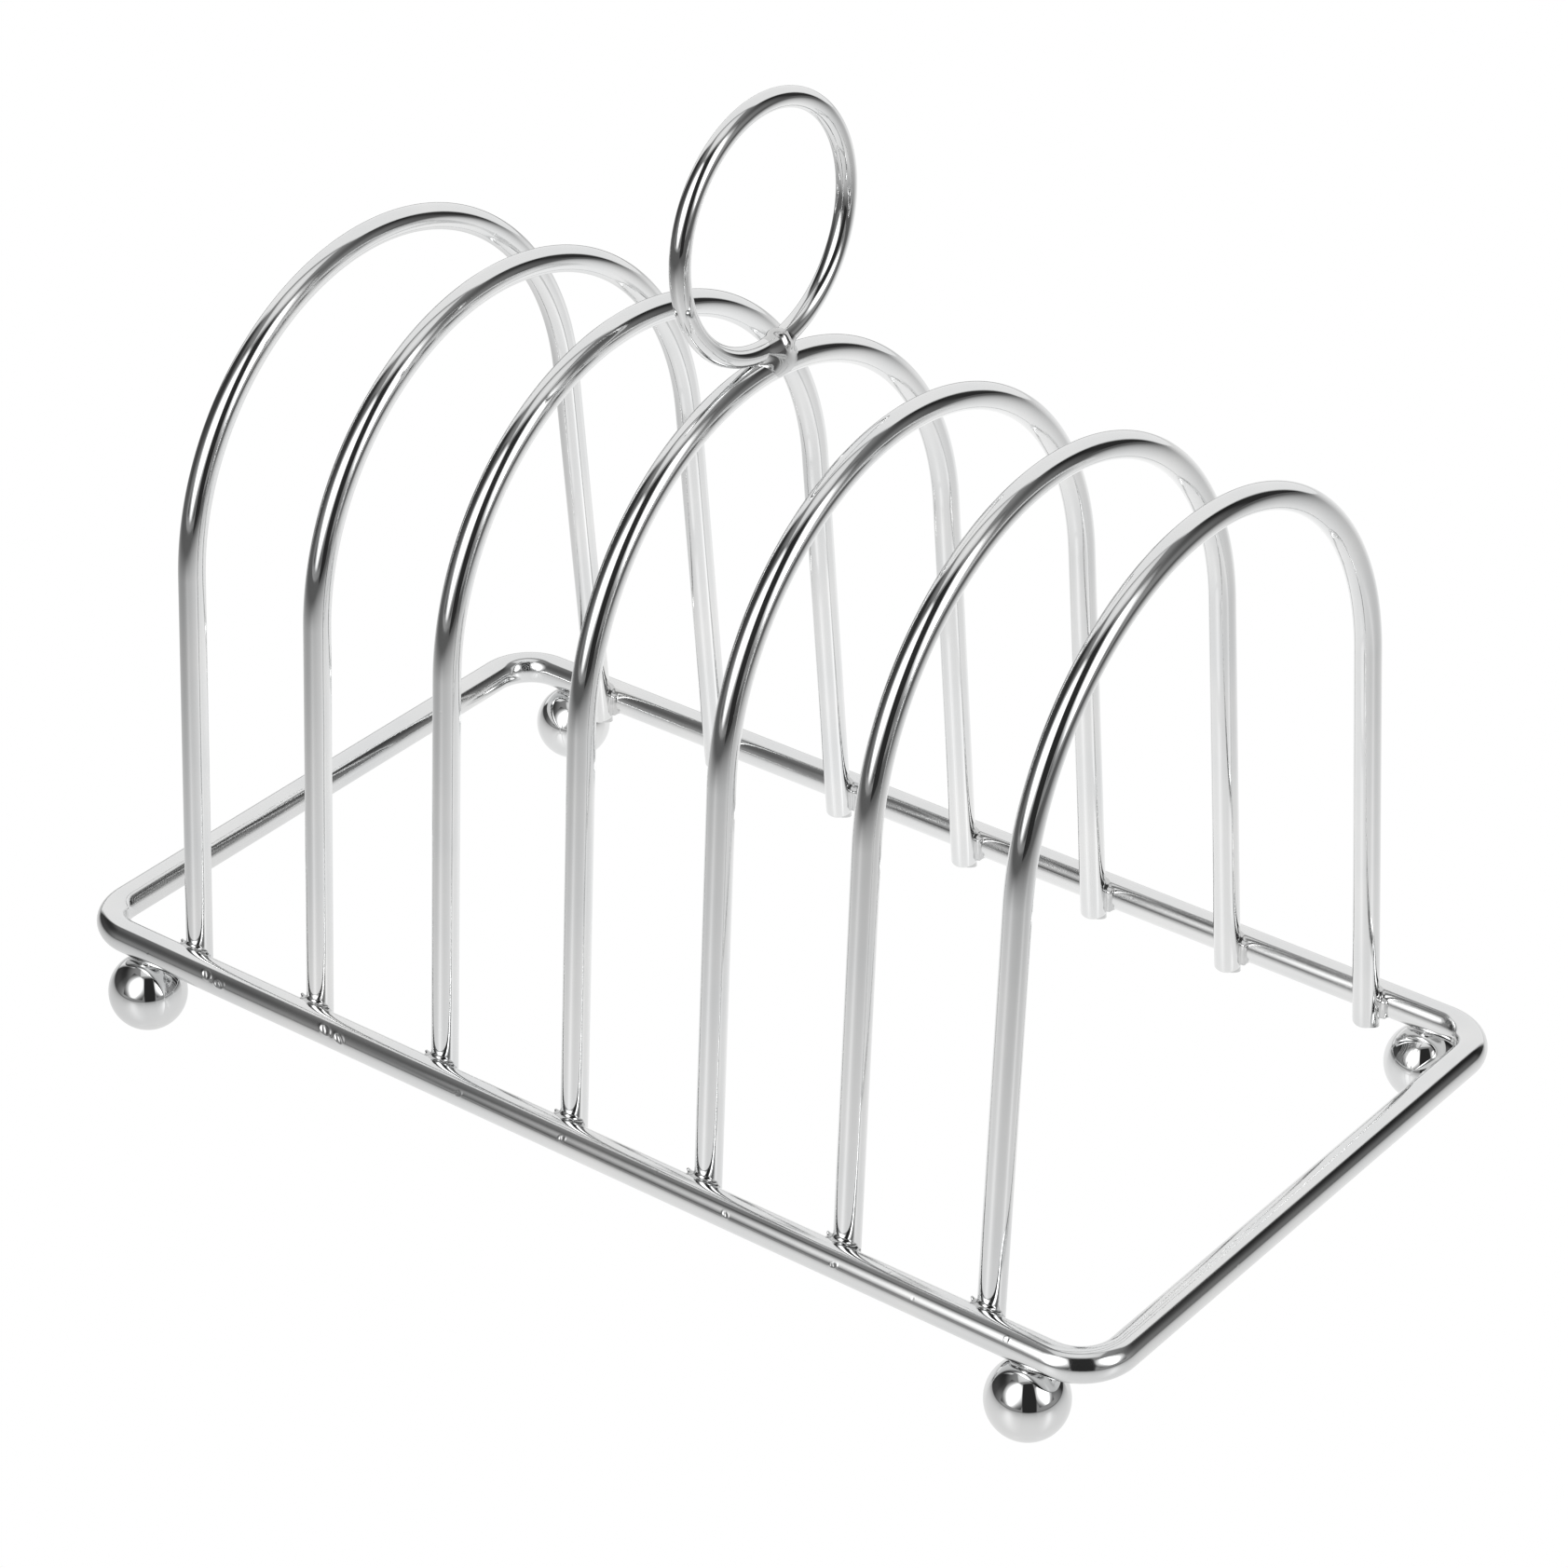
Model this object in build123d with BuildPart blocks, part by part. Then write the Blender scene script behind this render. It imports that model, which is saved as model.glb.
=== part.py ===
"""Toast rack: seven wire arches and a ring handle, welded to a wire base on four ball feet.

Millimetres. +X runs along the rack, across the slices, +Y runs from front to rear, +Z is up,
and the origin is on the floor under the middle of the base.
"""

from build123d import *
from math import acos, atan2, cos, hypot, sin, tan
import os

# Stock: the diameters that the rack is bent and pressed from.
BASE_WIRE = 5.0
ARCH_WIRE = 4.0
RING_WIRE = 3.0
FOOT_BALL = 12.0

# Base: one wire bent to a rectangle with rounded corners, measured along its centreline.
BASE_LENGTH = 185.0
BASE_WIDTH = 100.0
BASE_CORNER = 7.0
BASE_SINK = 0.2  # how far the weld lets the base down into each ball

# Arches: a half circle on two straight legs that lean in, one slot apart.
ARCH_COUNT = 7
ARCH_PITCH = 24.5
CROWN_HEIGHT = 115.5  # centreline of the crown above the floor
CROWN_RADIUS = 42.0  # centreline radius of the half circle
LEG_SINK = 1.25  # how far the weld presses a leg into the inner side of its rail
LEG_TAIL = 3.0  # leg left below the rail's centreline
CUT_ROUND = 0.5  # rounding that tumbling leaves on a cut end

# Ring handle, which stands in the plane of the middle arch.
RING_RADIUS = 18.3  # centreline
RING_SINK = 0.4  # how far the weld presses the ring into the crown

# Feet, under the long rails.
FOOT_SPACING = 164.0

# Weld beads: a spheroid of metal squeezed out around each joint, as (radius, half length).
LEG_BEAD = (3.2, 1.3)
RING_BEAD = (1.9, 3.8)
FOOT_BEAD = (3.0, 1.1)
FRONT_TO_REAR = Vector(0, 1, 0)
UPWARDS = Vector(0, 0, 1)

# Worked out from the sizes above.
base_height = FOOT_BALL - BASE_SINK + BASE_WIRE / 2
rail_x = BASE_LENGTH / 2
rail_y = BASE_WIDTH / 2
leg_y = rail_y - (BASE_WIRE + ARCH_WIRE) / 2 + LEG_SINK
crown_centre = CROWN_HEIGHT - CROWN_RADIUS
drop = crown_centre - base_height
lean = acos(CROWN_RADIUS / hypot(leg_y, drop)) - atan2(drop, leg_y)
bend_end = (CROWN_RADIUS * cos(lean), crown_centre + CROWN_RADIUS * sin(lean))
leg_end = (leg_y + LEG_TAIL * tan(lean), base_height - LEG_TAIL)
crown_top = CROWN_HEIGHT + ARCH_WIRE / 2
ring_height = crown_top - RING_SINK + RING_WIRE / 2 + RING_RADIUS
arch_places = [(n - (ARCH_COUNT - 1) / 2) * ARCH_PITCH for n in range(ARCH_COUNT)]
foot_places = {
    "front_left": (-FOOT_SPACING / 2, -rail_y),
    "front_right": (FOOT_SPACING / 2, -rail_y),
    "rear_left": (-FOOT_SPACING / 2, rail_y),
    "rear_right": (FOOT_SPACING / 2, rail_y),
}


def save(builder, name):
    """Label a finished piece and write it to its own file."""
    builder.part.label = name
    export_step(builder.part, f"parts/{name}.step")


def make_base_frame():
    """The loop of thick wire that everything is welded to."""
    with BuildPart() as base_frame:
        with BuildLine(Plane.XY.offset(base_height)) as loop:
            corners = [(rail_x, rail_y), (-rail_x, rail_y), (-rail_x, -rail_y), (rail_x, -rail_y)]
            Polyline(*corners, close=True)
            fillet(loop.vertices(), BASE_CORNER)
        with BuildSketch(Plane(origin=loop.wire() @ 0, z_dir=loop.wire() % 0)):
            Circle(BASE_WIRE / 2)
        sweep()
    return base_frame


def make_arch(x, base_frame):
    """One bent arch at x, with a saddle in each leg where the rail is pressed into it."""
    with BuildPart() as arch:
        with BuildLine(Plane.YZ.offset(x)) as run:
            Line((-leg_end[0], leg_end[1]), (-bend_end[0], bend_end[1]))
            ThreePointArc((-bend_end[0], bend_end[1]), (0, CROWN_HEIGHT), bend_end)
            Line(bend_end, leg_end)
        with BuildSketch(Plane(origin=run.wire() @ 0, z_dir=run.wire() % 0)):
            Circle(ARCH_WIRE / 2)
        sweep()
        cut_ends = arch.faces().filter_by(GeomType.PLANE)
        fillet(cut_ends.edges(), CUT_ROUND)
        add(base_frame.part, mode=Mode.SUBTRACT)
    return arch


def make_ring(crown_arch):
    """The ring handle, flattened where it sits on the crown of the middle arch."""
    with BuildPart() as ring:
        with Locations((0, 0, ring_height)):
            Torus(RING_RADIUS, RING_WIRE / 2, rotation=(0, 90, 90))
        add(crown_arch.part, mode=Mode.SUBTRACT)
    return ring


def make_foot(place, base_frame):
    """One ball foot, flattened where the rail sits on it."""
    with BuildPart() as foot:
        with Locations((*place, FOOT_BALL / 2)):
            Sphere(FOOT_BALL / 2)
        add(base_frame.part, mode=Mode.SUBTRACT)
    return foot


def make_welds(places, axis, size, neighbours):
    """Beads of one size at the given places, each revolved about the axis through its middle."""
    radius, half_length = size
    across = Vector(1, 0, 0)
    with BuildPart() as welds:
        for place in places:
            with BuildSketch(Plane(place, x_dir=across, z_dir=across.cross(axis))):
                Ellipse(radius, half_length)
                split(bisect_by=Plane.YZ)
            revolve(axis=Axis(place, axis))
        for neighbour in neighbours:
            add(neighbour.part, mode=Mode.SUBTRACT)
    return welds


os.makedirs("parts", exist_ok=True)

base_frame = make_base_frame()
save(base_frame, "base_frame")

arches = [make_arch(x, base_frame) for x in arch_places]
joint_y = leg_y + (ARCH_WIRE - LEG_SINK) / 2
for number, (x, arch) in enumerate(zip(arch_places, arches), start=1):
    save(arch, f"arch_{number}")
    leg_joints = [(x, -joint_y, base_height), (x, joint_y, base_height)]
    welds = make_welds(leg_joints, FRONT_TO_REAR, LEG_BEAD, [base_frame, arch])
    save(welds, f"arch_{number}_welds")

middle_arch = arches[ARCH_COUNT // 2]
ring = make_ring(middle_arch)
save(ring, "ring_handle")
ring_joint = (0, 0, crown_top - RING_SINK / 2)
save(make_welds([ring_joint], FRONT_TO_REAR, RING_BEAD, [middle_arch, ring]), "ring_weld")

for corner, place in foot_places.items():
    foot = make_foot(place, base_frame)
    save(foot, f"foot_{corner}")
    foot_joint = (*place, FOOT_BALL - BASE_SINK / 2)
    save(make_welds([foot_joint], UPWARDS, FOOT_BEAD, [base_frame, foot]), f"foot_weld_{corner}")
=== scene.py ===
from math import acos, atan2, cos, hypot, pi, radians, sin, tan

import bpy
import numpy as np
from mathutils import Matrix, Vector


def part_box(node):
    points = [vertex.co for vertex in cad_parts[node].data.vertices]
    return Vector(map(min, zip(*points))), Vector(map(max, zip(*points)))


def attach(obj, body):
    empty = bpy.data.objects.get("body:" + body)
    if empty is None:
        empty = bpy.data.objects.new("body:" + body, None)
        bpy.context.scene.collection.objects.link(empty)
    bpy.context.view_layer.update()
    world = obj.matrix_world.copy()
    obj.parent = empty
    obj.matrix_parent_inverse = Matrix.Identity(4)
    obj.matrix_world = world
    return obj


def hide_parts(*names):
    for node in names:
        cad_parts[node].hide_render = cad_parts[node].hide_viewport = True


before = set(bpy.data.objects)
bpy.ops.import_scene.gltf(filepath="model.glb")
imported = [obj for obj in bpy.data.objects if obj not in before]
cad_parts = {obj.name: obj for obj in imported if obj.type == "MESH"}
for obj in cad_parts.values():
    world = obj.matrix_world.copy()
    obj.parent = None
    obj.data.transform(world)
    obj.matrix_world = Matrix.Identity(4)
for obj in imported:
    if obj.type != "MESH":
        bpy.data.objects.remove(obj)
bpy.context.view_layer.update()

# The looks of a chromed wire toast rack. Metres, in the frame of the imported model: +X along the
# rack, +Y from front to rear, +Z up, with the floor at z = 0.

MM = 0.001
BODY = "root"

# ---------------------------------------------------------------- sizes, read from the frame

base_low, base_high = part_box("base_frame")
base_radius = (base_high.z - base_low.z) / 2
base_height = (base_high.z + base_low.z) / 2
rail_x = base_high.x - base_radius
rail_y = base_high.y - base_radius
BASE_CORNER = 7.0 * MM  # radius of the bends, on the wire's centre line

ARCH_COUNT = 7
arch_low, arch_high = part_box("arch_1")
arch_radius = (arch_high.x - arch_low.x) / 2
crown_height = arch_high.z - arch_radius
arch_places = [sum(corner.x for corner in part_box(f"arch_{n + 1}")) / 2 for n in range(ARCH_COUNT)]
CROWN_RADIUS = 42.0 * MM  # on the wire's centre line
LEG_SINK = 1.25 * MM  # how far the weld presses a leg into its rail
LEG_TAIL = 3.0 * MM  # how far a leg runs below the rail's centre
CUT_ROUND = 0.5 * MM  # rounding of a leg's cut end

ring_low, ring_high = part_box("ring_handle")
ring_wire = (ring_high.x - ring_low.x) / 2
ring_radius = (ring_high.y - ring_low.y) / 2 - ring_wire
ring_height = ring_high.z - ring_wire - ring_radius

# Each leg runs straight from its weld and meets the crown's arc without a kink, which sets its lean.
leg_y = rail_y - base_radius - arch_radius + LEG_SINK
crown_centre = crown_height - CROWN_RADIUS
drop = crown_centre - base_height
lean = acos(CROWN_RADIUS / hypot(leg_y, drop)) - atan2(drop, leg_y)
bend_end = (CROWN_RADIUS * cos(lean), crown_centre + CROWN_RADIUS * sin(lean))
leg_end = (leg_y + LEG_TAIL * tan(lean), base_height - LEG_TAIL)
joint_y = leg_y + arch_radius - LEG_SINK / 2

# ---------------------------------------------------------------- camera

CAMERA_AZIMUTH = radians(38.54)
CAMERA_ELEVATION = radians(31.33)
CAMERA_ROLL = radians(-0.854)
CAMERA_DISTANCE = 731.6 * MM
CAMERA_TARGET = Vector((5.33, -4.28, 52.3)) * MM
CAMERA_LENS = 116.92


def add_camera():
    back = Vector((
        sin(CAMERA_AZIMUTH) * cos(CAMERA_ELEVATION),
        -cos(CAMERA_AZIMUTH) * cos(CAMERA_ELEVATION),
        sin(CAMERA_ELEVATION),
    ))
    level = (-back).cross(Vector((0, 0, 1))).normalized()
    above = level.cross(-back)
    right = level * cos(CAMERA_ROLL) + above * sin(CAMERA_ROLL)
    up = above * cos(CAMERA_ROLL) - level * sin(CAMERA_ROLL)
    data = bpy.data.cameras.new("camera")
    data.lens = CAMERA_LENS
    data.sensor_width = 36.0
    data.clip_start = 0.01
    data.clip_end = 50.0
    camera = bpy.data.objects.new("camera", data)
    turn = Matrix((right, up, back)).transposed().to_4x4()
    camera.matrix_world = Matrix.Translation(CAMERA_TARGET + back * CAMERA_DISTANCE) @ turn
    bpy.context.scene.collection.objects.link(camera)
    bpy.context.scene.camera = camera


# ---------------------------------------------------------------- shader nodes

def maths(tree, operation, *values):
    """A Math node on up to three numbers or sockets, and its output."""
    node = tree.nodes.new("ShaderNodeMath")
    node.operation = operation
    for socket, value in zip(node.inputs, values):
        if isinstance(value, (int, float)):
            socket.default_value = value
        else:
            tree.links.new(value, socket)
    return node.outputs[0]


def ranged(tree, value, low, high, at_low=0.0, at_high=1.0, kind="LINEAR"):
    """value taken from between low and high to between at_low and at_high, and held beyond them."""
    node = tree.nodes.new("ShaderNodeMapRange")
    node.interpolation_type = kind
    node.inputs["From Min"].default_value = low
    node.inputs["From Max"].default_value = high
    node.inputs["To Min"].default_value = at_low
    node.inputs["To Max"].default_value = at_high
    tree.links.new(value, node.inputs["Value"])
    return node.outputs["Result"]


def fade(tree, value, edge, soft):
    """1 while value is well under edge and 0 well over it, with a soft step between."""
    return ranged(tree, value, edge - soft, edge + soft, 1.0, 0.0, "SMOOTHSTEP")


def noise(tree, place, scale, detail):
    node = tree.nodes.new("ShaderNodeTexNoise")
    node.inputs["Scale"].default_value = scale
    node.inputs["Detail"].default_value = detail
    tree.links.new(place, node.inputs["Vector"])
    return node.outputs["Fac"]


def bump(tree, height, distance, normal=None):
    node = tree.nodes.new("ShaderNodeBump")
    node.inputs["Strength"].default_value = 1.0
    node.inputs["Distance"].default_value = distance
    tree.links.new(height, node.inputs["Height"])
    if normal is not None:
        tree.links.new(normal, node.inputs["Normal"])
    return node.outputs["Normal"]


def mixed(tree, share, first, second):
    """A mix of two shaders, by the share of the second."""
    node = tree.nodes.new("ShaderNodeMixShader")
    tree.links.new(share, node.inputs["Fac"])
    tree.links.new(first, node.inputs[1])
    tree.links.new(second, node.inputs[2])
    return node.outputs["Shader"]


def place_in(tree, space):
    """Coordinates of the given space, whole and as X, Y and Z."""
    place = tree.nodes.new("ShaderNodeTexCoord").outputs[space]
    split = tree.nodes.new("ShaderNodeSeparateXYZ")
    tree.links.new(place, split.inputs["Vector"])
    return place, *split.outputs


# ---------------------------------------------------------------- chrome

CLOUD_SCALE = 70.0  # cloudy tone and gloss, in features per metre
RIPPLE_SCALE = 330.0  # long ripples from drawing the wire
PIT_SCALE = 420.0  # cells that may hold a pit
PIT_FLOOR = 0.02  # reach of a pit's floor and of its rim, in cells
PIT_RIM = 0.13
UNPITTED = 0.88  # share of the cells without a pit


def chrome(name, tone, roughness, waves, pits):
    """Bright chrome plate of one tone. waves is the height of its ripples, pits the depth of pits."""
    material = bpy.data.materials.new(name)
    material.use_nodes = True
    tree = material.node_tree
    shader = tree.nodes["Principled BSDF"]
    shader.inputs["Metallic"].default_value = 1.0
    place = tree.nodes.new("ShaderNodeTexCoord").outputs["Object"]

    cloud = noise(tree, place, CLOUD_SCALE, 4.0)
    colour = tree.nodes.new("ShaderNodeValToRGB")
    dull, bright = colour.color_ramp.elements
    dull.position = 0.3
    dull.color = (tone * 0.955, tone * 0.965, tone * 0.97, 1)
    bright.position = 0.7
    bright.color = (tone * 1.02, tone * 1.02, tone * 1.015, 1)
    tree.links.new(cloud, colour.inputs["Fac"])
    tree.links.new(colour.outputs["Color"], shader.inputs["Base Color"])
    gloss = ranged(tree, cloud, 0.35, 0.75, roughness, roughness * 1.8)
    tree.links.new(gloss, shader.inputs["Roughness"])

    waved = bump(tree, noise(tree, place, RIPPLE_SCALE, 1.0), waves)
    cells = tree.nodes.new("ShaderNodeTexVoronoi")
    cells.inputs["Scale"].default_value = PIT_SCALE
    tree.links.new(place, cells.inputs["Vector"])
    hollow = ranged(tree, cells.outputs["Distance"], PIT_FLOOR, PIT_RIM)
    chance = tree.nodes.new("ShaderNodeSeparateColor")
    tree.links.new(cells.outputs["Color"], chance.inputs["Color"])
    whole = maths(tree, "LESS_THAN", chance.outputs["Red"], UNPITTED)
    pitted = bump(tree, maths(tree, "MAXIMUM", hollow, whole), pits, waved)
    tree.links.new(pitted, shader.inputs["Normal"])
    return material


CLEAN = 0.78
WELDED = 0.60
base_chrome = chrome("base_chrome", CLEAN, 0.08, 0.0030 * MM, 0.010 * MM)
arch_chrome = chrome("arch_chrome", CLEAN, 0.06, 0.0030 * MM, 0.010 * MM)
ring_chrome = chrome("ring_chrome", CLEAN, 0.045, 0.0070 * MM, 0.008 * MM)
ball_chrome = chrome("ball_chrome", CLEAN, 0.010, 0.0010 * MM, 0.0)
weld_chrome = chrome("weld_chrome", WELDED, 0.06, 0.0050 * MM, 0.004 * MM)

# ---------------------------------------------------------------- meshes

AROUND = 96  # points round a wire
STEP = 0.6 * MM  # along a bend
STRAIGHT_STEP = 3.0 * MM  # along a straight run
RIM_STEPS = 7  # round the rim of a cut end


def add_mesh(name, points, faces, material):
    """A smooth-shaded mesh, as an object of its own."""
    mesh = bpy.data.meshes.new(name)
    mesh.from_pydata([tuple(p) for p in points], [], [tuple(int(i) for i in f) for f in faces])
    mesh.polygons.foreach_set("use_smooth", np.ones(len(mesh.polygons), bool))
    mesh.materials.append(material)
    mesh.validate()
    mesh.update()
    piece = bpy.data.objects.new(name, mesh)
    bpy.context.scene.collection.objects.link(piece)
    return piece


def replace(piece, node):
    """Makes piece stand for a CAD node: ties it to the rack's body and hides the node."""
    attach(piece, BODY)
    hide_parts(node)


def straight(start, end):
    """Points from start up to, but without, end."""
    count = max(2, int(round(np.linalg.norm(np.subtract(end, start)) / STRAIGHT_STEP)))
    t = np.arange(count)[:, None] / count
    return np.asarray(start) * (1 - t) + np.asarray(end) * t


def turned(centre, radius, first, last):
    """Points on an arc about centre, from the first angle up to, but without, the last."""
    count = max(8, int(round(abs(last - first) * radius / STEP)))
    angle = first + (last - first) * np.arange(count) / count
    return np.asarray(centre) + radius * np.stack([np.cos(angle), np.sin(angle)], 1)


def cut_ends(path, ahead, side, out, radius):
    """The rings of an open wire: closed, round-rimmed ends, with the path's own rings between.

    Gives the rings' centres, sizes, and the two directions that each one lies in."""
    along = np.concatenate([[0], np.cumsum(np.linalg.norm(np.diff(path, axis=0), axis=1))])
    turn = np.linspace(0, pi / 2, RIM_STEPS)
    tuck = CUT_ROUND * (1 - np.sin(turn))
    shrink = radius - CUT_ROUND * (1 - np.cos(turn))
    inner = shrink[-1] * np.array([0.15, 0.6, 0.93])
    start = [path[0] + ahead[0] * t for t in tuck]
    finish = [path[-1] - ahead[-1] * t for t in tuck]
    clear = CUT_ROUND * 1.2
    keep = (along > clear) & (along < along[-1] - clear)
    count = len(inner) + len(tuck)
    centres = np.concatenate([
        [path[0]] * len(inner), start[::-1], path[keep], finish, [path[-1]] * len(inner)])
    sizes = np.concatenate([
        inner, shrink[::-1], np.full(keep.sum(), radius), shrink, inner[::-1]])
    side = np.concatenate([[side[0]] * count, side[keep], [side[-1]] * count])
    out = np.concatenate([[out[0]] * count, out[keep], [out[-1]] * count])
    return centres, sizes, side, out


def tube(name, flat_path, to_space, flat_normal, radius, closed, material, relief=None):
    """A round wire along a flat path. to_space turns path points to 3-D, flat_normal stands on it.

    relief gives how far each of some surface points is pushed out of the wire."""
    path = np.array([to_space(*p) for p in flat_path])
    if closed:
        ahead = np.roll(path, -1, 0) - np.roll(path, 1, 0)
    else:
        ahead = np.gradient(path, axis=0)
    ahead /= np.linalg.norm(ahead, axis=1, keepdims=True)
    side = np.broadcast_to(np.asarray(flat_normal, float), path.shape)
    out = np.cross(ahead, side)
    centres, sizes = path, np.full(len(path), radius)
    if not closed:
        centres, sizes, side, out = cut_ends(path, ahead, side, out, radius)
    turns = np.arange(AROUND) * 2 * pi / AROUND
    spokes = (np.cos(turns)[None, :, None] * side[:, None]
              + np.sin(turns)[None, :, None] * out[:, None])
    points = (centres[:, None] + sizes[:, None, None] * spokes).reshape(-1, 3)
    if relief is not None:
        points = points + relief(points)[:, None] * spokes.reshape(-1, 3)
    count = len(centres)
    a = np.arange(count if closed else count - 1)[:, None] * AROUND
    b = (np.arange(1, count + 1) % count)[:len(a), None] * AROUND
    i = np.arange(AROUND)[None, :]
    j = (i + 1) % AROUND
    faces = np.stack([a + i, a + j, b + j, b + i], -1).reshape(-1, 4).tolist()
    if not closed:
        points = np.concatenate([points, [path[0]], [path[-1]]])
        first, last = len(points) - 2, len(points) - 1
        end = (count - 1) * AROUND
        faces += [[first, k, (k + 1) % AROUND] for k in range(AROUND)]
        faces += [[last, end + (k + 1) % AROUND, end + k] for k in range(AROUND)]
    return add_mesh(name, points, faces, material)


# ---------------------------------------------------------------- wires

STRONG_MARKED = 2  # arches, from the left, whose electrodes pressed hard
MARK_SPACING = 2.9  # between two hard marks, in mm


def electrode_marks():
    """Where the welding electrodes pressed on the outer faces of the long rails, and how deep.

    Each is a place along the rail, a side, a turn round the wire, a size, a depth and a skew."""
    rng = np.random.default_rng(41)
    marks = []
    for side in (-1, 1):
        for number, x in enumerate(arch_places):
            strong = number < STRONG_MARKED
            for k in range(2 if strong else 1):
                if strong:
                    offset = 6.0 + MARK_SPACING * k + rng.uniform(-0.5, 0.5)
                else:
                    offset = rng.uniform(0, 8)
                tilt = radians(rng.uniform(24, 42) - 5 * k)
                size = (rng.uniform(0.75, 0.95) if strong else rng.uniform(0.36, 0.52)) * MM
                depth = (0.055 if strong else 0.028) * MM
                skew = rng.uniform(-0.5, 0.5)
                marks.append((x - side * offset * MM, side, tilt, size, depth, skew))
    return marks


MARKS = electrode_marks()


def mark_relief(points):
    """Shallow dents with raised rims and uneven floors at the electrode marks."""
    total = np.zeros(len(points))
    for along, side, tilt, size, depth, skew in MARKS:
        near = np.abs(points[:, 0] - along) < 3 * size
        spot = points[near]
        around = np.arctan2(spot[:, 2] - base_height, side * spot[:, 1] - rail_y) - tilt
        u = (spot[:, 0] - along) / size
        v = around * base_radius / (0.62 * size) + skew * u
        away = np.hypot(u, v)
        rim = 0.7 * np.exp(-((away - 1.15) / 0.28) ** 2)
        floor = np.exp(-(away / 0.8) ** 4) * (1 + 0.6 * np.sin(5 * u + 3 * v))
        total[near] += depth * (rim - floor)
    return total


def long_rail(side):
    """Points along a long rail, close together at its electrode marks."""
    reach = rail_x - BASE_CORNER
    spots = [np.arange(-reach, reach, STRAIGHT_STEP)]
    spots += [along + np.arange(-2.2 * size, 2.2 * size, 0.07 * MM)
              for along, mark_side, _, size, _, _ in MARKS if mark_side == side]
    x = np.unique(np.round(np.concatenate(spots), 6))
    x = x[np.concatenate([[True], np.diff(x) > 0.03 * MM])]
    return np.stack([-side * x, np.full(len(x), side * rail_y)], 1)


def base_loop():
    """The base wire, bent to a rounded rectangle."""
    x, y, r = rail_x, rail_y, BASE_CORNER
    sides = [
        (straight((x, -y + r), (x, y - r)), (x - r, y - r), 0),
        (long_rail(1), (-x + r, y - r), pi / 2),
        (straight((-x, y - r), (-x, -y + r)), (-x + r, -y + r), pi),
        (long_rail(-1), (x - r, -y + r), 3 * pi / 2),
    ]
    path = np.concatenate([np.concatenate([run, turned(centre, r, first, first + pi / 2)])
                           for run, centre, first in sides])
    piece = tube("base_loop", path, lambda u, v: (u, v, base_height), (0, 0, 1),
                 base_radius, True, base_chrome, mark_relief)
    replace(piece, "base_frame")


def arch(number, x):
    """An arch: two straight legs, which lean in, and a round crown."""
    path = np.concatenate([
        straight((leg_end[0], leg_end[1]), bend_end),
        turned((0, crown_centre), CROWN_RADIUS, lean, pi - lean),
        straight((-bend_end[0], bend_end[1]), (-leg_end[0], leg_end[1])),
        [(-leg_end[0], leg_end[1])],
    ])
    piece = tube(f"arch_wire_{number}", path, lambda u, v: (x, u, v), (1, 0, 0),
                 arch_radius, False, arch_chrome)
    replace(piece, f"arch_{number}")


def ring():
    path = turned((0, ring_height), ring_radius, 0, 2 * pi)
    piece = tube("ring", path, lambda u, v: (0, u, v), (1, 0, 0), ring_wire, True, ring_chrome)
    replace(piece, "ring_handle")


BALL_ROWS = 48
BALL_COLUMNS = 96


def ball_place(corner):
    """The centre and the radius of a ball foot."""
    low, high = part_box(f"foot_{corner}")
    radius = (high.x - low.x) / 2
    return np.array([(low.x + high.x) / 2, (low.y + high.y) / 2, low.z + radius]), radius


def ball(corner):
    centre, radius = ball_place(corner)
    columns = BALL_COLUMNS
    polar = np.linspace(0, pi, BALL_ROWS + 1)[1:-1]
    turn = np.arange(columns) * 2 * pi / columns
    points = [centre + (0, 0, radius)]
    for p in polar:
        points += [centre + radius * np.array([sin(p) * cos(t), sin(p) * sin(t), cos(p)])
                   for t in turn]
    points.append(centre - (0, 0, radius))
    faces = [[0, 1 + k, 1 + (k + 1) % columns] for k in range(columns)]
    for row in range(len(polar) - 1):
        top = 1 + row * columns
        faces += [[top + k, top + columns + k, top + columns + (k + 1) % columns,
                   top + (k + 1) % columns] for k in range(columns)]
    last = len(points) - 1
    faces += [[last, last - columns + (k + 1) % columns, last - columns + k]
              for k in range(columns)]
    piece = add_mesh(f"ball_{corner}", points, faces, ball_chrome)
    replace(piece, f"foot_{corner}")


# ---------------------------------------------------------------- welds

CELL = 0.15 * MM  # grid of the weld surfaces
SKIN = 0.02 * MM  # how far a weld's skirt stays under the skin of the wires


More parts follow.
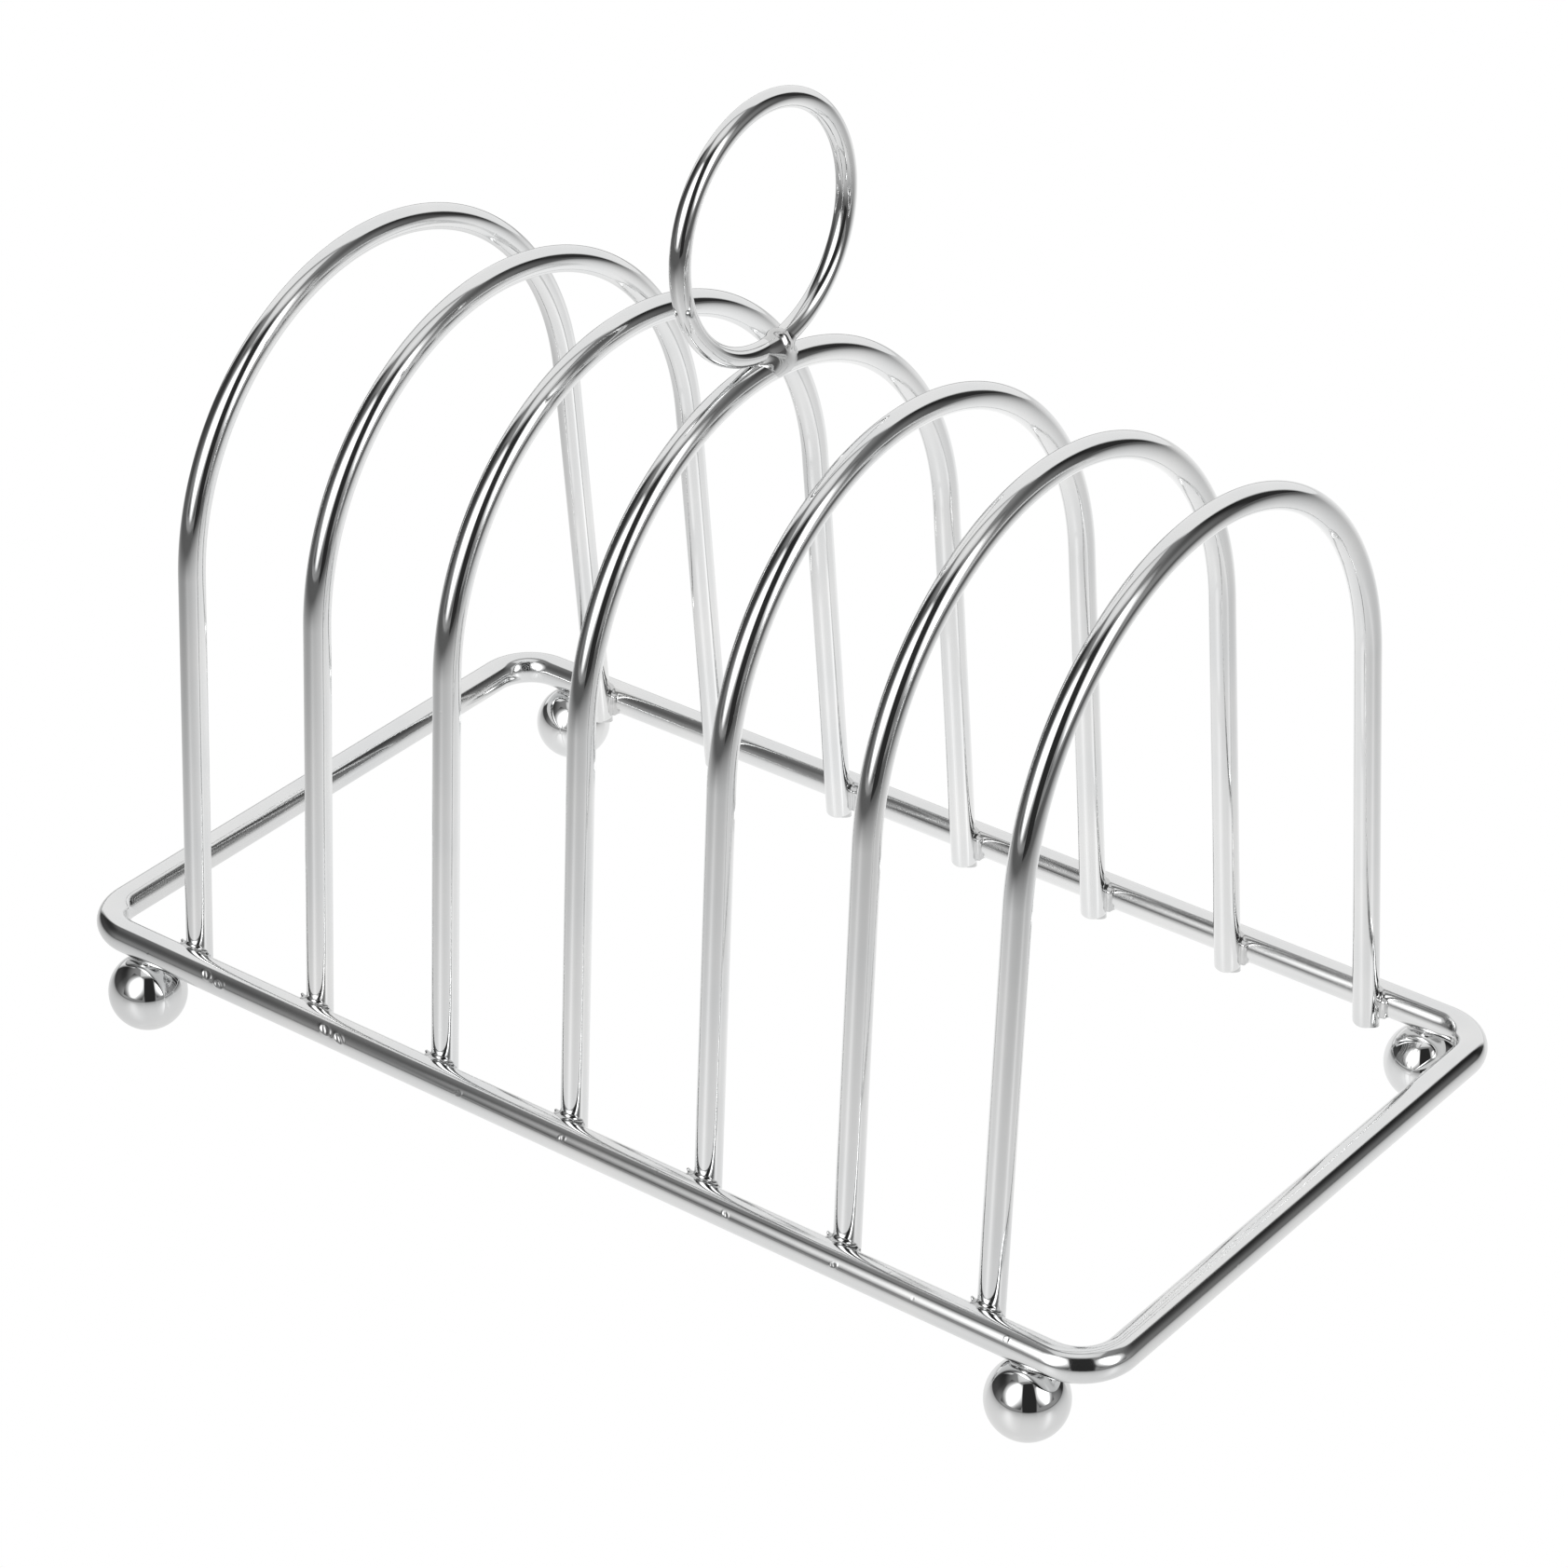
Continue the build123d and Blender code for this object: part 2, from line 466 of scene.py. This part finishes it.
def iso_surface(field, low, high):
    """The closed surface where field is zero, as quads on a grid, pulled onto the field."""
    counts = np.ceil((np.asarray(high) - low) / CELL).astype(int) + 1
    axes = [low[k] + CELL * np.arange(counts[k]) for k in range(3)]
    grid = np.stack(np.meshgrid(*axes, indexing="ij"), -1)
    value = field(grid.reshape(-1, 3)).reshape(counts)
    inside = value < 0
    total = np.zeros((*(counts - 1), 3))
    hits = np.zeros(counts - 1)
    crossings = []
    for k in range(3):
        here = [slice(None)] * 3
        there = [slice(None)] * 3
        here[k], there[k] = slice(None, -1), slice(1, None)
        here, there = tuple(here), tuple(there)
        cut = inside[here] != inside[there]
        share = np.where(cut, value[here] / np.where(cut, value[here] - value[there], 1), 0)
        point = grid[here] + (grid[there] - grid[here]) * share[..., None]
        others = [m for m in range(3) if m != k]
        for i in (0, 1):
            for j in (0, 1):
                part = [slice(None)] * 3
                part[others[0]] = slice(i, counts[others[0]] - 1 + i)
                part[others[1]] = slice(j, counts[others[1]] - 1 + j)
                part = tuple(part)
                total += np.where(cut[part][..., None], point[part], 0)
                hits += cut[part]
        crossings.append((k, cut, inside[here]))
    used = hits > 0
    number = np.full(used.shape, -1)
    number[used] = np.arange(used.sum())
    points = total[used] / hits[used][:, None]
    quads = []
    for k, cut, starts_inside in crossings:
        u, v = (k + 1) % 3, (k + 2) % 3
        spot = np.argwhere(cut)
        corner = []
        for du, dv in ((0, 0), (-1, 0), (-1, -1), (0, -1)):
            cell = spot.copy()
            cell[:, u] += du
            cell[:, v] += dv
            corner.append(number[tuple(cell.T)])
        quad = np.stack(corner, 1)
        flip = ~starts_inside[cut]
        quad[flip] = quad[flip][:, ::-1]
        quads.append(quad)
    step = 0.01 * MM
    for _ in range(3):
        slope = np.stack([(field(points + step * axis) - field(points - step * axis)) / (2 * step)
                          for axis in np.eye(3)], 1)
        pull = field(points)[:, None] * slope / (slope ** 2).sum(1, keepdims=True).clip(0.25)
        points = points - pull.clip(-0.4 * CELL, 0.4 * CELL)
    return points, np.concatenate(quads)


def from_line(points, start, direction, radius):
    """Distance from a round rod of the given radius along a line."""
    direction = np.asarray(direction) / np.linalg.norm(direction)
    away = points - start
    return np.linalg.norm(away - (away @ direction)[:, None] * direction, axis=1) - radius


def merged(first, second, reach):
    """The smaller of two distances, with a fillet of the given reach between them."""
    near = np.clip(reach - np.abs(first - second), 0, None) / reach
    return np.minimum(first, second) - near ** 2 * reach / 4


def ripples(points, seed, height, length):
    """Smooth uneven bumps of about the given height and length."""
    rng = np.random.default_rng(seed)
    total = np.zeros(len(points))
    for _ in range(9):
        wave = rng.normal(size=3)
        wave *= 2 * pi / (length * rng.uniform(0.7, 1.8) * np.linalg.norm(wave))
        total += np.sin(points @ wave + rng.uniform(0, 2 * pi))
    return height * total / 3


def lump(field, centre, reach):
    """A weld lump: the part of field within reach of centre, just under the wires' skin."""
    centre = np.asarray(centre)
    low, high = centre - reach - 2 * CELL, centre + reach + 2 * CELL

    def shape(points):
        limit = np.linalg.norm(points - centre, axis=1) - reach
        return np.maximum(field(points) + SKIN, limit)

    return iso_surface(shape, low, high)


def join(parts):
    """One list of points and faces from several."""
    points, faces, count = [], [], 0
    for part_points, part_faces in parts:
        points.append(part_points)
        faces.append(np.asarray(part_faces) + count)
        count += len(part_points)
    return np.concatenate(points), np.concatenate(faces)


def rounded_block(points, centre, half, rounding):
    """Distance from a box with rounded edges."""
    box = np.abs(points - centre) - half + rounding
    return np.linalg.norm(box.clip(0), axis=1) + box.max(1).clip(None, 0) - rounding


def leg_weld(x, side, seed):
    """The fillet, the squeezed-out web and the thin flash between one leg and the rail beside it."""
    leg_start = np.array([x, side * leg_y, base_height])
    leg_way = (0, side * tan(lean), -1)
    rail_start = np.array([x, side * rail_y, base_height])
    joint = np.array([x, side * joint_y, base_height])
    rng = np.random.default_rng(seed)
    fillet = rng.uniform(0.9, 1.2) * MM
    web = joint + np.array([1.75 + rng.uniform(-0.1, 0.25), -side * 0.15, -0.25]) * MM
    web_half = np.array([1.05, 0.75, 1.75 + rng.uniform(-0.2, 0.2)]) * MM
    flash = joint + np.array([-1.7, -side * 0.25, 1.5]) * MM
    flash_way = np.array([-0.75 - rng.uniform(0, 0.3), -side * 0.1, rng.uniform(0.5, 0.8)]) * MM

    def field(points):
        leg = from_line(points, leg_start, leg_way, arch_radius)
        rail = from_line(points, rail_start, (1, 0, 0), base_radius)
        body = merged(leg, rail, fillet)
        block = rounded_block(points, web, web_half, 0.3 * MM)
        block = block + ripples(points, seed, 0.05 * MM, 2.2 * MM)
        body = merged(body, block, 0.4 * MM)
        away = points - flash
        along = np.clip((away @ flash_way) / (flash_way @ flash_way), 0, 1)
        fin = np.linalg.norm((away - along[:, None] * flash_way) * (1, 0.7, 1), axis=1)
        fin_radius = (0.34 - 0.16 * along) * MM
        return merged(body, fin - fin_radius, 0.4 * MM)

    return lump(field, joint, 4.0 * MM)


def arch_welds(number, x):
    """Both leg welds of an arch, as one piece."""
    points, faces = join([leg_weld(x, side, 20 * number + side) for side in (-1, 1)])
    piece = add_mesh(f"welds_of_arch_{number}", points, faces, weld_chrome)
    replace(piece, f"arch_{number}_welds")


def from_hoop(points, centre, hoop, radius):
    """Distance from a wire bent to a circle that stands across the rack."""
    away = points - centre
    flat = np.hypot(away[:, 1], away[:, 2]) - hoop
    return np.hypot(flat, away[:, 0]) - radius


def ring_weld():
    """The saddle between ring and crown, and the nugget that closes the ring."""
    joint = np.array([0, 1.9 * MM, crown_height + arch_radius])
    crown_axis = np.array([0, 0, crown_centre])
    ring_axis = np.array([0, 0, ring_height])
    nugget_turn = 2.6 * MM / ring_radius
    nugget = ring_axis + ring_radius * np.array([0, sin(nugget_turn), -cos(nugget_turn)])
    nugget_way = np.array([0, cos(nugget_turn), sin(nugget_turn)])

    def field(points):
        arch = from_hoop(points, crown_axis, CROWN_RADIUS, arch_radius)
        loop = from_hoop(points, ring_axis, ring_radius, ring_wire)
        fade_out = (1 - ((points[:, 1] - joint[1]) / (4.6 * MM)) ** 2).clip(0.01)
        between = (1 - ((arch - loop) / (3.4 * MM)) ** 2).clip(0) ** 2 * fade_out
        body = merged(arch, loop, 3.9 * MM * fade_out)
        body = body + ripples(points, 7, 0.020 * MM, 3.0 * MM) * between
        away = points - nugget
        along = away @ nugget_way
        across = np.linalg.norm(away - along[:, None] * nugget_way, axis=1)
        collar = np.hypot(along * 1.75, across) - 1.95 * MM
        collar = collar + ripples(points, 8, 0.10 * MM, 2.0 * MM)
        return merged(body, collar, 0.6 * MM)

    points, faces = lump(field, joint, 5.0 * MM)
    piece = add_mesh("weld_of_ring", points, faces, weld_chrome)
    replace(piece, "ring_weld")


def foot_weld(corner, seed):
    """The fillet between a ball and its rail, with four beads squeezed out of it."""
    centre, radius = ball_place(corner)
    rail_start = np.array([centre[0], centre[1], base_height])
    rng = np.random.default_rng(seed)
    bead_places = (
        (-1.4 + rng.uniform(-0.3, 0.3), -0.9),
        (0.5 + rng.uniform(-0.4, 0.4), -1.2),
        (1.7, 0.9),
        (-0.6, 1.2),
    )
    beads = [centre + np.array([dx * MM, dy * MM, radius - 0.15 * MM]) for dx, dy in bead_places]

    def field(points):
        ball = np.linalg.norm(points - centre, axis=1) - radius
        rail = from_line(points, rail_start, (1, 0, 0), base_radius)
        between = (1 - ((ball - rail) / (1.2 * MM)) ** 2).clip(0) ** 2
        body = merged(ball, rail, 0.9 * MM) + ripples(points, seed, 0.02 * MM, 2.0 * MM) * between
        for bead in beads:
            away = np.linalg.norm((points - bead) * (0.7, 1.0, 1.2), axis=1)
            body = merged(body, away - 0.42 * MM, 0.4 * MM)
        return body

    points, faces = lump(field, centre + (0, 0, radius), 3.2 * MM)
    piece = add_mesh(f"weld_of_ball_{corner}", points, faces, weld_chrome)
    replace(piece, f"foot_weld_{corner}")


# ---------------------------------------------------------------- studio

TABLE_HALF = 1.6
CARD_CENTRE = Vector((0, 0, 60)) * MM  # the point that all the cards face
LOW_WALLS = 1.5  # what the walls' brightness is multiplied by near the table
HIGH_WALLS = 0.8  # and higher up
CEILING = 0.34
BEYOND = 0.12  # painted shade: the table's glow outside its painted pool of light

# The walls' brightness by azimuth in degrees, from the front and towards the right.
WALLS = [
    (-180, 0.02),
    (-95, 0.03),
    (-62, 0.05),
    (-44, 0.13),
    (-28, 0.24),
    (30, 0.16),
    (112, 0.22),
    (134, 0.11),
    (146, 0.02),
    (180, 0.02),
]


def empty_material(name):
    """A material with no nodes yet."""
    material = bpy.data.materials.new(name)
    material.use_nodes = True
    material.node_tree.nodes.clear()
    return material


def finish_tree(tree, kind, shader):
    """Links a shader to an output node of the given kind."""
    out = tree.nodes.new(kind)
    tree.links.new(shader, out.inputs["Surface"])


def but_camera_sees(tree, shader, plain):
    """A shader for every ray but the camera's, which sees the plain one."""
    path = tree.nodes.new("ShaderNodeLightPath")
    return mixed(tree, path.outputs["Is Camera Ray"], shader, plain)


def emission(tree, strength):
    """An emission shader of constant or linked strength."""
    node = tree.nodes.new("ShaderNodeEmission")
    if isinstance(strength, float):
        node.inputs["Strength"].default_value = strength
    else:
        tree.links.new(strength, node.inputs["Strength"])
    return node.outputs["Emission"]


def flat_piece(name, half_width, half_height, material):
    """A flat rectangle of the studio, which casts no shadow."""
    w, h = half_width, half_height
    mesh = bpy.data.meshes.new(name)
    mesh.from_pydata([(-w, -h, 0), (w, -h, 0), (w, h, 0), (-w, h, 0)], [], [(0, 1, 2, 3)])
    mesh.materials.append(material)
    piece = bpy.data.objects.new(name, mesh)
    piece.visible_shadow = False
    bpy.context.scene.collection.objects.link(piece)
    return piece


def soft_glow(name, strength, half_width, half_height, soft, spread, core):
    """An emission that falls off by spread from a centre with a small hot core, with soft edges."""
    material = empty_material(name)
    tree = material.node_tree
    _, x, y, _ = place_in(tree, "Object")
    across = fade(tree, maths(tree, "ABSOLUTE", x), half_width, soft)
    down = fade(tree, maths(tree, "ABSOLUTE", y), half_height, soft)
    x_reach = maths(tree, "POWER", maths(tree, "DIVIDE", x, half_width), 2.0)
    y_reach = maths(tree, "POWER", maths(tree, "DIVIDE", y, half_height), 2.0)
    fall = maths(tree, "POWER", spread, maths(tree, "ADD", x_reach, y_reach))
    tight = maths(tree, "MULTIPLY_ADD", x_reach, 6.0, y_reach)
    hot = maths(tree, "MULTIPLY", maths(tree, "POWER", 0.2, tight), core)
    glow = maths(tree, "MULTIPLY", maths(tree, "ADD", fall, hot), strength)
    clear = tree.nodes.new("ShaderNodeBsdfTransparent").outputs["BSDF"]
    shown = mixed(tree, maths(tree, "MULTIPLY", across, down), clear, emission(tree, glow))
    finish_tree(tree, "ShaderNodeOutputMaterial", shown)
    return material


def card(name, azimuth, elevation, distance, width, height, soft, strength, spread=1.0, core=0.0):
    """A soft-edged light card that faces the rack and that the camera doesn't see."""
    a, e = radians(azimuth), radians(elevation)
    back = Vector((sin(a) * cos(e), -cos(a) * cos(e), sin(e)))
    level = Vector((0, 0, 1)).cross(back).normalized()
    turn = Matrix((level, back.cross(level), back)).transposed().to_4x4()
    material = soft_glow(name, strength, width / 2, height / 2, soft, spread, core)
    piece = flat_piece(name, width / 2 + soft, height / 2 + soft, material)
    piece.matrix_world = Matrix.Translation(CARD_CENTRE + back * distance) @ turn
    piece.visible_camera = False


def background(tree):
    """A Background node's colour and strength sockets, and its output."""
    node = tree.nodes.new("ShaderNodeBackground")
    return node.inputs["Color"], node.inputs["Strength"], node.outputs["Background"]


def dark_room():
    """White where the camera looks, and a dim room all round in the reflections."""
    world = bpy.data.worlds.new("studio")
    bpy.context.scene.world = world
    world.use_nodes = True
    tree = world.node_tree
    tree.nodes.clear()
    _, x, y, up = place_in(tree, "Generated")

    azimuth = maths(tree, "ARCTAN2", x, maths(tree, "MULTIPLY", y, -1.0))
    ramp = tree.nodes.new("ShaderNodeValToRGB")
    stops = ramp.color_ramp.elements
    while len(stops) < len(WALLS):
        stops.new(0.5)
    for stop, (degrees, level) in zip(stops, WALLS):
        stop.position = (degrees + 180) / 360
        stop.color = (level, level, level, 1)
    share = maths(tree, "MULTIPLY_ADD", azimuth, 1 / (2 * pi), 0.5)
    tree.links.new(share, ramp.inputs["Fac"])

    overhead = tree.nodes.new("ShaderNodeMix")
    overhead.data_type = "RGBA"
    overhead.inputs["B"].default_value = (CEILING, CEILING, CEILING, 1)
    tree.links.new(fade(tree, maths(tree, "MULTIPLY", up, -1.0), -0.75, 0.2),
                   overhead.inputs["Factor"])
    tree.links.new(ramp.outputs["Color"], overhead.inputs["A"])

    colour, strength, room = background(tree)
    tree.links.new(overhead.outputs["Result"], colour)
    low_down = fade(tree, up, 0.33, 0.15)
    tree.links.new(maths(tree, "MULTIPLY_ADD", low_down, LOW_WALLS - HIGH_WALLS, HIGH_WALLS),
                   strength)
    colour, _, plain = background(tree)
    colour.default_value = (1, 1, 1, 1)
    finish_tree(tree, "ShaderNodeOutputWorld", but_camera_sees(tree, room, plain))


def table():
    """The pale table: white to the camera, and to reflections a glow of painted light, brightest near
    the rack, with painted shade beyond its lit part.
    """
    material = empty_material("table")
    tree = material.node_tree
    place, x, y, _ = place_in(tree, "Object")
    front = radians(-20)
    toward = maths(tree, "ADD", maths(tree, "MULTIPLY", x, sin(front)),
                   maths(tree, "MULTIPLY", y, -cos(front)))
    sides = maths(tree, "MULTIPLY", fade(tree, x, 0.20, 0.25),
                  fade(tree, maths(tree, "MULTIPLY", x, -1.0), 0.24, 0.25))
    area = maths(tree, "MULTIPLY", fade(tree, toward, 0.20, 0.30), sides)

    away = tree.nodes.new("ShaderNodeVectorMath")
    away.operation = "DISTANCE"
    away.inputs[1].default_value = (0.4, -0.4, 0)
    tree.links.new(place, away.inputs[0])
    square = maths(tree, "POWER", away.outputs["Value"], 2.0)
    fall = maths(tree, "MULTIPLY_ADD", square, 0.20, 1.0)
    # Painted light: the table glows, though it is no lamp, as a pool of light brightest near the rack
    # and fading with distance.
    light = maths(tree, "MULTIPLY", maths(tree, "DIVIDE", 1.17, fall), area)
    # Painted shade: outside the lit part the table glows dimly, at BEYOND.
    beyond = maths(tree, "MULTIPLY_ADD", area, -BEYOND, BEYOND)
    flat = emission(tree, maths(tree, "ADD", light, beyond))

    sheen = tree.nodes.new("ShaderNodeBsdfGlossy")
    sheen.inputs["Roughness"].default_value = 0.06
    edge = tree.nodes.new("ShaderNodeFresnel")
    edge.inputs["IOR"].default_value = 1.45
    lit = mixed(tree, maths(tree, "MULTIPLY", edge.outputs["Fac"], area),
                flat, sheen.outputs["BSDF"])
    finish_tree(tree, "ShaderNodeOutputMaterial", but_camera_sees(tree, lit, emission(tree, 1.0)))
    flat_piece("table", TABLE_HALF, TABLE_HALF, material)


def studio():
    bpy.context.scene.view_settings.view_transform = "Standard"
    dark_room()
    table()
    card("back_sweep", 212, 18, 0.80, 1.93, 2.20, 0.12, 0.95)
    card("left_box", -5, 33, 0.80, 0.96, 0.95, 0.02, 2.4, spread=0.12, core=1.5)
    card("right_box", 86, 30, 0.90, 0.72, 0.80, 0.02, 2.3, spread=0.17, core=2.0)
    card("photographer", 43, 22, 0.66, 0.40, 1.40, 0.02, 0.027)
    card("top_panel", 38.5, 88.5, 0.85, 0.66, 0.44, 0.03, 0.95, spread=0.8)


base_loop()
for number, x in enumerate(arch_places, start=1):
    arch(number, x)
    arch_welds(number, x)
ring()
ring_weld()
for seed, corner in enumerate(("front_left", "front_right", "rear_left", "rear_right")):
    ball(corner)
    foot_weld(corner, 200 + seed)
studio()
add_camera()
